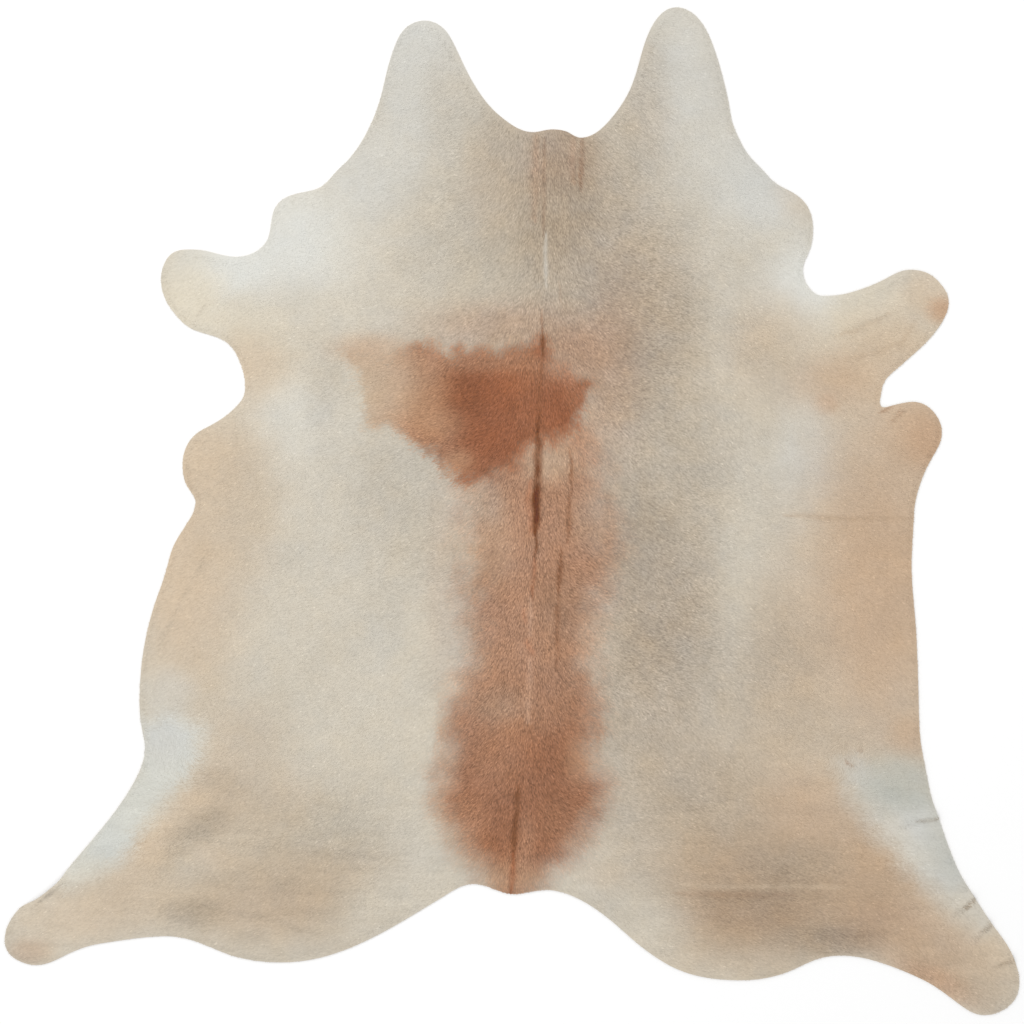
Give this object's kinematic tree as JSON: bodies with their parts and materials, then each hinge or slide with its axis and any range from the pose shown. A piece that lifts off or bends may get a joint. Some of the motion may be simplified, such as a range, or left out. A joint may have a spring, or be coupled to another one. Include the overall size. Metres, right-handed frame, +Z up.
{
  "type": "cowhide rug",
  "caption": "Hair-on cowhide rug lying flat, cut in the outline of the whole skin with ear flaps, forelegs and hind legs, with a cream coat and brown markings along its back.",
  "frame": {"origin": "on the floor, under the middle of the rug's box", "axes": "+Z up out of the hair side, +Y along the spine towards the neck, +X to the right seen from above"},
  "size_m": [2.212, 2.197, 0.0096],
  "materials": {
    "hide": "short flat-lying hair in cream and grey-beige with brown patches, dull satin sheen; bare suede on the underside"
  },
  "bodies": {
    "root": {"hide": "hide"}
  },
  "joints": []
}
